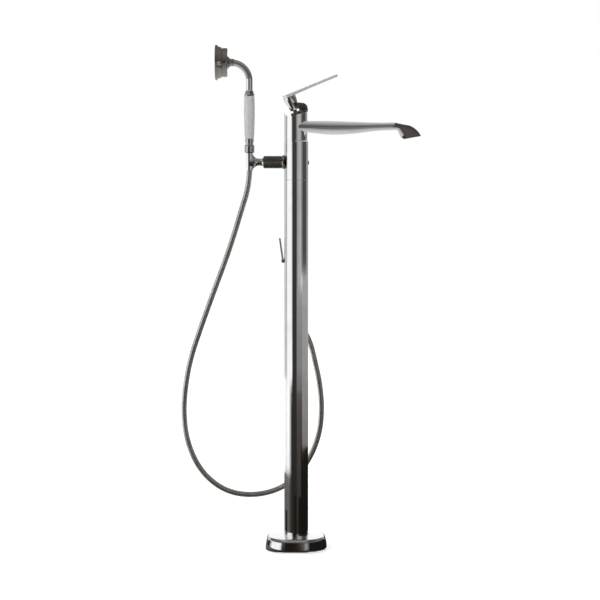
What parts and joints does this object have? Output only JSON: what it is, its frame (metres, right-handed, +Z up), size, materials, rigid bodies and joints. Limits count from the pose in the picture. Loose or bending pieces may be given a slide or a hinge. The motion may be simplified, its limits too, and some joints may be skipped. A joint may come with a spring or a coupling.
{
  "type": "floor standing bath filler",
  "caption": "Slim round floor column with a rounded square foot, tilted lever mixer, broad bath spout and a corded hand shower resting in an arm cradle.",
  "frame": {"origin": "on the floor at the centre of the floor bolt circle, on the axis of the column", "axes": "+Z up along the column, +X along the spout, +Y to the back, where the hose outlet is"},
  "size_m": [0.4783, 0.1234, 1.0053],
  "materials": {
    "polished_chrome": "polished chromium plate on brass",
    "brass": "turned brass",
    "copper_pipe": "drawn copper tube",
    "stainless_steel": "turned stainless steel",
    "cast_flange": "machined steel",
    "spiral_hose": "close wound chromed steel strip hose",
    "porcelain": "glazed white porcelain",
    "ceramic_plastic": "moulded acetal and ceramic",
    "dark_rubber": "moulded rubber"
  },
  "bodies": {
    "column": {"floor_flange": "cast_flange", "base_cover": "polished_chrome", "base_cover_seal": "dark_rubber", "column_set_screws": "stainless_steel", "column_tube": "polished_chrome", "joint_sleeve": "brass", "joint_seal_rings": "dark_rubber", "mixer_housing": "polished_chrome", "mixer_body": "brass", "mixer_cap": "polished_chrome", "cartridge_body": "ceramic_plastic", "cartridge_nut": "polished_chrome", "hot_riser": "copper_pipe", "cold_riser": "copper_pipe", "mixed_water_pipe": "copper_pipe", "spout_riser_pipe": "copper_pipe", "pipe_spacers": "ceramic_plastic", "pipe_nuts": "brass", "spout_body": "polished_chrome", "spout_shank": "brass", "spout_seal": "dark_rubber", "aerator_housing": "polished_chrome", "aerator_insert": "ceramic_plastic", "aerator_seal": "dark_rubber", "arm_bolt": "stainless_steel", "arm_cap_nut": "polished_chrome", "arm_sleeve": "polished_chrome", "arm_neck": "polished_chrome", "cradle": "polished_chrome", "diverter_body": "brass", "diverter_cartridge": "ceramic_plastic", "outlet_elbow": "polished_chrome", "outlet_seal": "dark_rubber", "hose_nut_lower": "polished_chrome", "lower_hose_washer": "dark_rubber", "shower_hose": "spiral_hose"},
    "temperature_carrier": {"cartridge_rotor": "ceramic_plastic", "rotor_pin": "stainless_steel"},
    "mixer_lever": {"lever_stem": "brass", "lever_hub": "polished_chrome", "lever_grub_screw": "stainless_steel", "lever_bar": "polished_chrome"},
    "diverter_handle": {"diverter_spindle": "stainless_steel", "diverter_lever": "polished_chrome", "diverter_lever_screw": "stainless_steel"},
    "hose_end": {"hose_nut_upper": "polished_chrome", "upper_hose_washer": "dark_rubber"},
    "handset": {"handset_inlet": "brass", "lower_collar": "polished_chrome", "lower_ferrule": "polished_chrome", "porcelain_grip": "porcelain", "upper_ferrule": "polished_chrome", "handset_neck": "polished_chrome", "head_boss": "polished_chrome", "shower_ring": "polished_chrome", "shower_shell": "polished_chrome", "shower_rim": "polished_chrome", "spray_plate": "polished_chrome", "spray_nozzles": "dark_rubber"}
  },
  "joints": [
    {"name": "lever_temperature", "type": "hinge", "parent": "column", "child": "temperature_carrier", "pos_m": [0, 0, 0.87], "axis": [-0.3827, 0, 0.9239], "range_deg": [-45, 45]},
    {"name": "lever_flow", "type": "hinge", "parent": "temperature_carrier", "child": "mixer_lever", "pos_m": [0.00153, 0, 0.8663], "axis": [0, -1, 0], "range_deg": [0, 20]},
    {"name": "diverter_turn", "type": "hinge", "parent": "column", "child": "diverter_handle", "pos_m": [-0.0243, 0, 0.5799], "axis": [1, 0, 0], "range_deg": [0, 90]},
    {"name": "handset_lift", "type": "slide", "parent": "column", "child": "hose_end", "axis": [0, 0, 1], "range_m": [0, 0.045]},
    {"name": "handset_turn", "type": "hinge", "parent": "hose_end", "child": "handset", "pos_m": [-0.0923, 0, 0.7931], "axis": [0, 0, 1], "range_deg": [-180, 180]}
  ]
}
